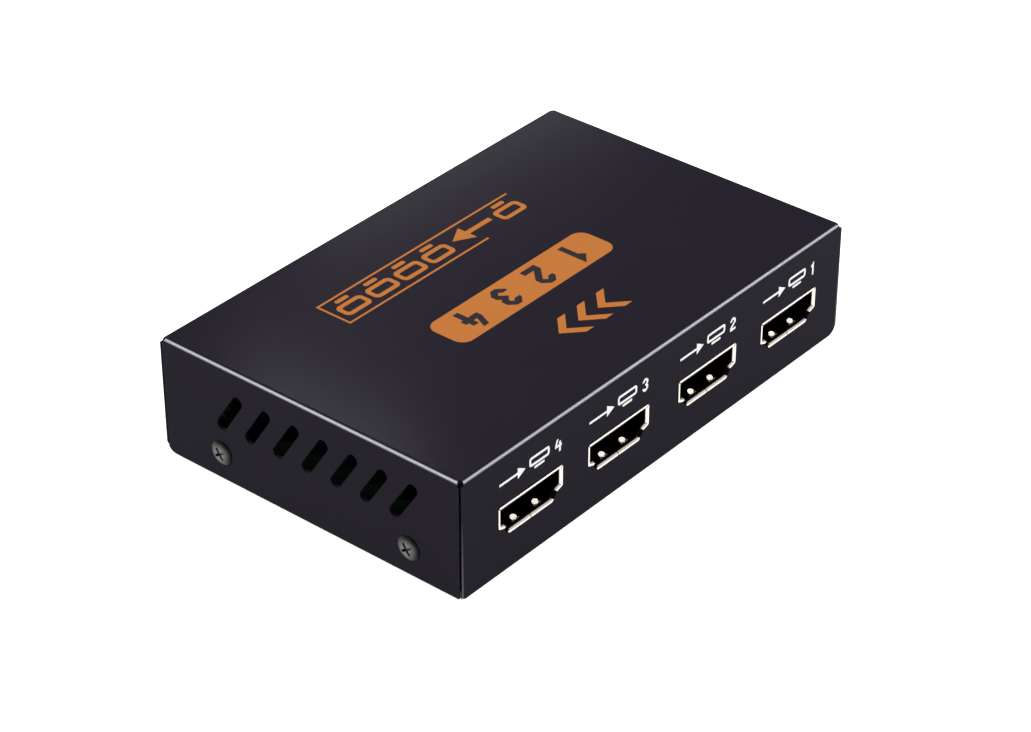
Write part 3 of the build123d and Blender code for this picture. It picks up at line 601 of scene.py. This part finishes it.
def figure(number, height, u, v, line):
    """A plain printed figure from 1 to 4, centred on a place, in strokes of one width.

    Its corners are cut, and its parts are shares of its height, its cut corners or its line.
    """
    top, half, cut = height / 2 - line / 2, height * 0.3 - line / 2, height * 0.14
    paths = {
        1: [(-half, top - cut * 1.6), (0, top - cut * 0.4), (0, -height / 2)],
        2: [
            (-half, top - cut * 1.5),
            (-half, top - cut),
            (-half + cut, top),
            (half - cut, top),
            (half, top - cut),
            (half, cut * 0.9),
            (-half, -top + cut * 0.9),
            (-half, -top),
            (half + line / 2, -top),
        ],
        3: [
            (-half, top - cut * 1.3),
            (-half, top - cut),
            (-half + cut, top),
            (half - cut, top),
            (half, top - cut),
            (half, cut),
            (half - cut, 0),
            (half, -cut),
            (half, -top + cut),
            (half - cut, -top),
            (-half + cut, -top),
            (-half, -top + cut),
            (-half, -top + cut * 1.3),
        ],
    }
    if number in paths:
        loop = stroke(paths[number], line)
    else:
        left, right, bar = -height * 0.33, height * 0.33, -height * 0.12
        high, low = height / 2, -height / 2
        stem = right - line * 1.5
        loop = [(left, bar + line), (left, bar), (stem, bar), (stem, low), (stem + line, low)]
        loop += [(stem + line, bar), (right, bar), (right, bar + line), (stem + line, bar + line)]
        loop += [(stem + line, high * 0.55), (stem, high * 0.55), (stem, bar + line)]
        loop += [(left + line, bar + line), (left + line * 1.9, high), (left + line * 0.9, high)]
    return film([(u + across, v + up) for across, up in loop])


def rounded_box(left, right, low, high, radius):
    """The loop of a box with round corners."""
    steps = 8
    corners = [(right - radius, high - radius), (left + radius, high - radius)]
    corners += [(left + radius, low + radius), (right - radius, low + radius)]
    loop = []
    for index, (u, v) in enumerate(corners):
        for step in range(steps + 1):
            angle = (index + step / steps) * math.pi / 2
            loop.append((u + radius * math.cos(angle), v + radius * math.sin(angle)))
    return loop


def screen_mark(left, right, low, high, line):
    """A small picture of a screen on its foot, with round corners that suit its line."""
    foot = (right - left) / 4
    base = low + 1.7 * line
    outer_radius, inner_radius, foot_radius = 1.2 * line, 0.5 * line, 0.45 * line
    outer = rounded_box(left, right, base, high, outer_radius)
    inner = rounded_box(left + line, right - line, base + line, high - line, inner_radius)
    stand = rounded_box(left + foot, right - foot, low, low + line, foot_radius)
    return [film(outer, inner), film(stand)]


def arrow_mark(start, end, v, line, head):
    """An arrow along U: a shaft of a line's width and a solid head, a little wider than long."""
    neck = end - head * 0.9
    half = line / 2
    shaft = [(start, v - half), (neck, v - half), (neck, v - head / 2), (end, v)]
    return [film(shaft + [(neck, v + head / 2), (neck, v + half), (start, v + half)])]


def chevron(left, low, high, reach, line):
    """A bold angle that points along U."""
    middle = (low + high) / 2
    return film(
        [
            (left, low),
            (left + line, low),
            (left + line + reach, middle),
            (left + line, high),
            (left, high),
            (left + reach, middle),
        ]
    )


def print_piece(name, films, across, up, origin, ink):
    """Lays films of ink on a face of the case, half sunk in its coat, as one piece."""
    join = 0.001 * mm
    out = across.cross(up)
    place = Matrix((across, up, out)).transposed().to_4x4()
    place.translation = origin
    marks = bmesh.new()
    for mesh in films:
        marks.from_mesh(mesh)
        bpy.data.meshes.remove(mesh)
    bmesh.ops.remove_doubles(marks, verts=marks.verts, dist=join)
    marks.transform(place)
    return add_piece(name, marks, ink)


front_across, rear_across, upward = Vector((1, 0, 0)), Vector((-1, 0, 0)), Vector((0, 0, 1))
mark_height, mark_line, mark_level = 2.4, 0.42, 17.3 * mm
arrow_start, arrow_end, arrow_head = -7.4, -1.3, 2.0
screen_left, screen_right, number_place = -0.4, 4.4, 6.5
outputs = sockets[:4]
for index, socket in enumerate(outputs):
    mouth, _ = socket_mouth(socket)
    films = arrow_mark(arrow_start, arrow_end, 0, mark_line, arrow_head)
    films += screen_mark(screen_left, screen_right, -mark_height / 2, mark_height / 2, mark_line)
    films.append(figure(index + 1, mark_height, number_place, 0, mark_line))
    origin = Vector((mouth.x, case_low.y, mark_level))
    print_piece(f"{socket}_mark", films, front_across, upward, origin, white_ink)

# The marks on the top read from the rear, so U runs along -X and V along -Y.
top_up = Vector((0, -1, 0))
top_origin = Vector((0, 0, case_high.z))

# A frame of thin line, open at one side, round one screen, an arrow and four screens.
frame_start, frame_short_end, frame_end = -20.2, -7.3, 26.6
frame_low, frame_high, frame_line = -18.05, -10.65, 0.4
open_frame = film(
    [
        (frame_start, frame_low),
        (frame_end, frame_low),
        (frame_end, frame_high),
        (frame_short_end, frame_high),
        (frame_short_end, frame_high - frame_line),
        (frame_end - frame_line, frame_high - frame_line),
        (frame_end - frame_line, frame_low + frame_line),
        (frame_start, frame_low + frame_line),
    ]
)
screen_low, screen_high, screen_line = -17.0, -12.2, 0.85
source_left, source_right = -19.4, -13.4
first_screen, screen_width, screen_pitch = -1.2, 5.9, 6.8
films = [open_frame]
films += screen_mark(source_left, source_right, screen_low, screen_high, screen_line)
films += arrow_mark(start=-12.2, end=-2.6, v=-14.6, line=1.0, head=4.2)
for index in range(len(outputs)):
    left = first_screen + index * screen_pitch
    films += screen_mark(left, left + screen_width, screen_low, screen_high, screen_line)
print_piece("one_to_four_print", films, rear_across, top_up, top_origin, orange_ink)

# A solid bar with the numbers 1 to 4 printed over it in dark ink.
bar = film(rounded_box(left=-18.8, right=19.9, low=-1.0, high=7.2, radius=2.2))
print_piece("orange_bar_print", [bar], rear_across, top_up, top_origin, orange_ink)
number_height, number_line, number_level = 5.8, 1.2, 3.1
first_number, number_pitch = -12.2, 8.5
figures = []
for index in range(len(outputs)):
    u = first_number + index * number_pitch
    figures.append(figure(index + 1, number_height, u, number_level, number_line))
above_bar = top_origin + Vector((0, 0, ink_thickness / 2))
print_piece("bar_figures_print", figures, rear_across, top_up, above_bar, dark_ink)

# Three bold angles in a row.
first_chevron, chevron_pitch = -7.1, 4.9
chevron_low, chevron_high, chevron_reach, chevron_line = 13.4, 19.3, 3.2, 1.9
chevrons = []
for index in range(3):
    left = first_chevron + index * chevron_pitch
    chevrons.append(chevron(left, chevron_low, chevron_high, chevron_reach, chevron_line))
print_piece("chevron_print", chevrons, rear_across, top_up, top_origin, orange_ink)

# On the rear panel, four small numbers and the on and off sign stand over the lamps. The sign is
# an open ring of straight runs, and a bar that stands in its gap.
lamp_low, lamp_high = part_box("status_lamps")
lamp_rim, lamp_mark_level = 1.9 * mm, 15.3 * mm
lamp_number_height, lamp_number_line = 1.9, 0.34
lamp_pitch = (lamp_high.x - lamp_low.x - 2 * lamp_rim) / len(outputs)
films = []
for index in range(len(outputs)):
    u = -(lamp_high.x - lamp_rim - index * lamp_pitch) / mm
    films.append(figure(index + 1, lamp_number_height, u, 0, lamp_number_line))
ring_radius, ring_line, ring_start, ring_step, ring_points = 0.75, 0.28, 120, 20, 16
bar_foot, bar_top, bar_radius = 0.15, 1.05, 0.1
u = -(lamp_low.x + lamp_rim) / mm
turns = [math.radians(ring_start + index * ring_step) for index in range(ring_points)]
ring = [(u + ring_radius * math.cos(turn), ring_radius * math.sin(turn)) for turn in turns]
films.append(film(stroke(ring, ring_line)))
films.append(film(rounded_box(u - ring_line / 2, u + ring_line / 2, bar_foot, bar_top, bar_radius)))
lamp_mark_origin = Vector((0, case_high.y, lamp_mark_level))
print_piece("lamp_figures_print", films, rear_across, upward, lamp_mark_origin, white_ink)

# A screen and an arrow stand over the input.
mouth, _ = socket_mouth("input")
films = screen_mark(-6.0, -1.8, -mark_height / 2, mark_height / 2, mark_line)
films += arrow_mark(start=-0.6, end=5.6, v=0, line=mark_line, head=1.8)
origin = Vector((mouth.x, case_high.y, mark_level))
print_piece("input_mark", films, rear_across, upward, origin, white_ink)

# The sign for direct current, one long dash over three short ones, stands over the power socket.
jack_low, jack_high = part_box("power_jack_body")
jack_mark_level = 19.4 * mm
dash_far, dash_near, dash_radius = 0.8, 0.45, 0.12
long_half, short_dash, short_starts = 1.6, 0.8, (-1.6, -0.4, 0.8)
films = [film(rounded_box(-long_half, long_half, dash_near, dash_far, dash_radius))]
for u in short_starts:
    films.append(film(rounded_box(u, u + short_dash, -dash_far, -dash_near, dash_radius)))
origin = Vector(((jack_low.x + jack_high.x) / 2, case_high.y, jack_mark_level))
print_piece("direct_current_mark", films, rear_across, upward, origin, white_ink)


# Cover screws
# Two low pan-head screws on each side, of steel plated with black nickel. The grey crown and dark
# rim of each head are a painted highlight and a painted shade for a rounder dome. Shares are of the
# head's radius.

crown_share, rim_share = 0.4, 0.9
head_low, head_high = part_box("cover_screws")
head_middle = (head_low + head_high) / 2
head_radius = (head_high.z - head_low.z) / 2
head_row = (head_high.y - head_low.y) / 2 - head_radius
black_nickel, nickel_shader, nickel_colour = plated_metal(
    "black_nickel_plated_steel", "#73716F", "#545251", 0.37, (0.3, 0.3, 0.3)
)
screw_place = add_node(black_nickel, "TexCoord", {}, {})
to_middle = {"operation": "SUBTRACT", 1: head_middle}
centred = add_node(black_nickel, "VectorMath", to_middle, {0: screw_place.outputs["Object"]})
both_ways = add_node(black_nickel, "VectorMath", {"operation": "ABSOLUTE"}, {0: centred.outputs[0]})
to_axis = {"operation": "SUBTRACT", 1: (0, head_row, 0)}
from_axis = add_node(black_nickel, "VectorMath", to_axis, {0: both_ways.outputs[0]})
in_plane = {"operation": "MULTIPLY", 1: (0, 1, 1)}
across_head = add_node(black_nickel, "VectorMath", in_plane, {0: from_axis.outputs[0]})
reach = add_node(black_nickel, "VectorMath", {"operation": "LENGTH"}, {0: across_head.outputs[0]})
# The grey crown is a painted highlight and the dark rim a painted shade.
painted_crown_light = {"From Min": head_radius * rim_share, "From Max": head_radius * crown_share}
crown = add_node(black_nickel, "MapRange", painted_crown_light, {"Value": reach.outputs["Value"]})
painted_rim_shade = {"data_type": "RGBA", 6: linear("#1B1A1C")}
both = {0: crown.outputs[0], 7: nickel_colour.outputs[2]}
plating = add_node(black_nickel, "Mix", painted_rim_shade, both)
black_nickel.node_tree.links.new(plating.outputs[2], nickel_shader.inputs["Base Color"])
finish_node("cover_screws", black_nickel)


# Feet
# Four discs moulded from black rubber and stuck under the base plate's corners. They are matt,
# with a fine dusty grain.

foot_rubber = moulded_solid("black_rubber", "#141414", "#232322", 0.85, 0.25, 1.52)
finish_node("rubber_feet", foot_rubber)


# Floor
# A plain white floor under the case. Its own white shows to the camera, to metal and to clear
# pieces; right under the case it is cut off, as a painted shadow. The floor clips to white, so no
# other shadow shows on it.

floor_half, cloud_size, own_white = 4.0, 40 * mm, 0.8
inset_x, inset_y, inset_blur = 1.35 * mm, 1.15 * mm, 0.1 * mm
floor_paint, place = new_material("white_studio_floor")
cloud = {"Scale": 1 / cloud_size, "Detail": 2.0}
fibre = add_node(floor_paint, "TexNoise", cloud, {"Vector": place})
tint = {"data_type": "RGBA", 6: linear("#D8D8D8"), 7: linear("#DCDCDC")}
colour = add_node(floor_paint, "Mix", tint, {0: fibre.outputs[0]})
ray = add_node(floor_paint, "LightPath", {}, {})
either = {0: ray.outputs["Is Camera Ray"], 1: ray.outputs["Is Glossy Ray"]}
seen = add_node(floor_paint, "Math", {"operation": "MAXIMUM"}, either)
either = {0: seen.outputs[0], 1: ray.outputs["Is Transmission Ray"]}
shown = add_node(floor_paint, "Math", {"operation": "MAXIMUM"}, either)
strength = {"operation": "MULTIPLY", 1: own_white}
lift = add_node(floor_paint, "Math", strength, {0: shown.outputs[0]})
quarter = add_node(floor_paint, "VectorMath", {"operation": "ABSOLUTE"}, {0: place})
parts = add_node(floor_paint, "SeparateXYZ", {}, {0: quarter.outputs[0]})
# Under the case the floor's own white is cut off, which makes a painted shadow there.
past_shadow_edges = []
for axis, start in ((0, case_high.x - inset_x), (1, case_high.y - inset_y)):
    edge = {"From Min": start - inset_blur, "From Max": start + inset_blur}
    past_shadow_edges.append(add_node(floor_paint, "MapRange", edge, {"Value": parts.outputs[axis]}))
either = {0: past_shadow_edges[0].outputs[0], 1: past_shadow_edges[1].outputs[0]}
outside_painted_shadow = add_node(floor_paint, "Math", {"operation": "MAXIMUM"}, either)
both = {0: lift.outputs[0], 1: outside_painted_shadow.outputs[0]}
lift = add_node(floor_paint, "Math", {"operation": "MULTIPLY"}, both)
paper = add_node(
    floor_paint,
    "BsdfPrincipled",
    {"Roughness": 0.9, "Specular IOR Level": 0.0, "Emission Color": linear("#FFFFFF")},
    {"Base Color": colour.outputs[2], "Emission Strength": lift.outputs[0]},
)
add_node(floor_paint, "OutputMaterial", {}, {"Surface": paper.outputs[0]})
floor_shape = bmesh.new()
corners = [(-1, -1), (1, -1), (1, 1), (-1, 1)]
floor_shape.faces.new([floor_shape.verts.new((x * floor_half, y * floor_half, 0)) for x, y in corners])
floor_mesh = bpy.data.meshes.new("floor")
floor_shape.to_mesh(floor_mesh)
floor_shape.free()
floor_mesh.materials.append(floor_paint)
floor = bpy.data.objects.new("floor", floor_mesh)
bpy.context.scene.collection.objects.link(floor)


# Light
# Lamps placed so that their reflections fall as in the photograph: two soft ones for the upper
# bends, a broad one overhead and two small dim ones for the top's edges, in an even pale room. By
# grey cards the level is 1.5 on the top and 1.1 to 1.2 on the sides, where 1 shows colours as written.


def soft_lamp(name, place, width, length, spin, power):
    """A rectangular lamp that faces the case, turned about its own axis."""
    light = bpy.data.lights.new(name, "AREA")
    light.shape = "RECTANGLE"
    light.size, light.size_y = width, length
    light.energy = power
    lamp = bpy.data.objects.new(name, light)
    lamp.location = place
    lamp.rotation_mode = "QUATERNION"
    aim = (-Vector(place)).to_track_quat("-Z", "Y")
    lamp.rotation_quaternion = aim @ Matrix.Rotation(spin, 4, "Z").to_quaternion()
    bpy.context.scene.collection.objects.link(lamp)


box_side, sky_side = 0.4, 1.2
soft_lamp("left_box", (-0.66, 0.64, 0.77), box_side, box_side, spin=0.0, power=13.5)
soft_lamp("right_box", (0.77, -0.66, 0.64), box_side, box_side, spin=0.0, power=12.0)
soft_lamp("overhead", (0.0, 0.0, 1.3), sky_side, sky_side, spin=0.0, power=1.5)
soft_lamp("rear_sheen", (0.902, 0.784, 0.647), 0.22, 0.035, spin=0.48, power=0.5)
soft_lamp("left_sheen", (0.715, 0.731, 0.764), 0.11, 0.03, spin=-0.55, power=0.26)

room_strength = 0.4
world = bpy.data.worlds.new("pale_room")
bpy.context.scene.world = world
world.use_nodes = True
world.node_tree.nodes["Background"].inputs["Color"].default_value = linear("#FFFFFF")
world.node_tree.nodes["Background"].inputs["Strength"].default_value = room_strength
bpy.context.scene.view_settings.view_transform = "Standard"


# Camera
# It stands at the photograph's place: in front of the outputs' left end, looking down on the top.

azimuth, elevation = math.radians(-50.222), math.radians(33.39)
camera_place = Vector((-329.83, -275.6, 288.78)) * mm
sensor_width, focal_length, nearest = 36.0, 109.71, 0.01
back = Vector(
    (
        math.sin(azimuth) * math.cos(elevation),
        -math.cos(azimuth) * math.cos(elevation),
        math.sin(elevation),
    )
)
right = Vector((math.cos(azimuth), math.sin(azimuth), 0))
lens_data = bpy.data.cameras.new("camera")
lens_data.sensor_width = sensor_width
lens_data.lens = focal_length
lens_data.clip_start = nearest
camera = bpy.data.objects.new("camera", lens_data)
turn = Matrix((right, back.cross(right), back)).transposed().to_4x4()
camera.matrix_world = Matrix.Translation(camera_place) @ turn
bpy.context.scene.collection.objects.link(camera)
bpy.context.scene.camera = camera
